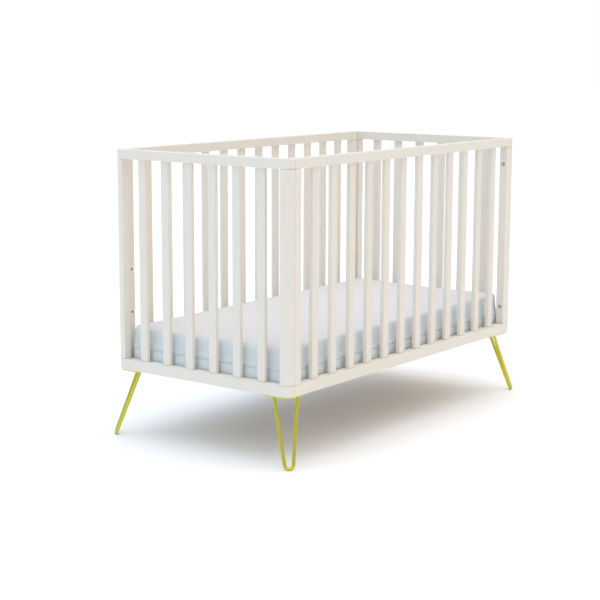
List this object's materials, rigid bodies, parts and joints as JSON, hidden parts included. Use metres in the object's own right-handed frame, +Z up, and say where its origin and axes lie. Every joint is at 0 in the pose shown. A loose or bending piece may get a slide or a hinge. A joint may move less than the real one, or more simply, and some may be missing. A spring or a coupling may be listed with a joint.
{
  "type": "slatted baby cot",
  "caption": "Slatted wooden baby cot on leaning hairpin legs, with a height-adjustable ventilated base and a loose mattress.",
  "frame": {"origin": "on the floor, under the middle of the cot", "axes": "+X along the length from the head end to the foot end, +Y from the front side to the back side, +Z up"},
  "size_m": [1.2848, 0.6828, 0.863],
  "materials": {
    "painted_wood": "white satin paint on solid beech",
    "brass_painted_steel": "brass-coloured gloss coating on steel rod",
    "birch_plywood": "bare birch plywood and bearers, fine grain",
    "mattress_cotton": "off-white woven cotton cover",
    "white_coated_steel": "white powder coat on folded steel angle"
  },
  "bodies": {
    "frame": {"back_bottom_rail": "painted_wood", "back_post_foot": "painted_wood", "back_post_head": "painted_wood", "back_slat_01": "painted_wood", "back_slat_02": "painted_wood", "back_slat_03": "painted_wood", "back_slat_04": "painted_wood", "back_slat_05": "painted_wood", "back_slat_06": "painted_wood", "back_slat_07": "painted_wood", "back_slat_08": "painted_wood", "back_slat_09": "painted_wood", "back_slat_10": "painted_wood", "back_slat_11": "painted_wood", "back_slat_12": "painted_wood", "back_top_rail": "painted_wood", "foot_bottom_rail": "painted_wood", "foot_post_back": "painted_wood", "foot_post_front": "painted_wood", "foot_slat_1": "painted_wood", "foot_slat_2": "painted_wood", "foot_slat_3": "painted_wood", "foot_slat_4": "painted_wood", "foot_slat_5": "painted_wood", "foot_slat_6": "painted_wood", "foot_top_rail": "painted_wood", "front_bottom_rail": "painted_wood", "front_post_foot": "painted_wood", "front_post_head": "painted_wood", "front_slat_01": "painted_wood", "front_slat_02": "painted_wood", "front_slat_03": "painted_wood", "front_slat_04": "painted_wood", "front_slat_05": "painted_wood", "front_slat_06": "painted_wood", "front_slat_07": "painted_wood", "front_slat_08": "painted_wood", "front_slat_09": "painted_wood", "front_slat_10": "painted_wood", "front_slat_11": "painted_wood", "front_slat_12": "painted_wood", "front_top_rail": "painted_wood", "head_bottom_rail": "painted_wood", "head_post_back": "painted_wood", "head_post_front": "painted_wood", "head_slat_1": "painted_wood", "head_slat_2": "painted_wood", "head_slat_3": "painted_wood", "head_slat_4": "painted_wood", "head_slat_5": "painted_wood", "head_slat_6": "painted_wood", "head_top_rail": "painted_wood", "leg_foot_back": "brass_painted_steel", "leg_foot_front": "brass_painted_steel", "leg_head_back": "brass_painted_steel", "leg_head_front": "brass_painted_steel"},
    "mattress_base": {"base_angle_back": "white_coated_steel", "base_angle_front": "white_coated_steel", "base_board": "birch_plywood"},
    "mattress": {"mattress": "mattress_cotton"}
  },
  "joints": [
    {"name": "base_height", "type": "slide", "parent": "frame", "child": "mattress_base", "axis": [0, 0, 1], "range_m": [0, 0.28]},
    {"name": "mattress_lift", "type": "slide", "parent": "mattress_base", "child": "mattress", "axis": [0, 0, 1], "range_m": [0, 0.64]}
  ]
}
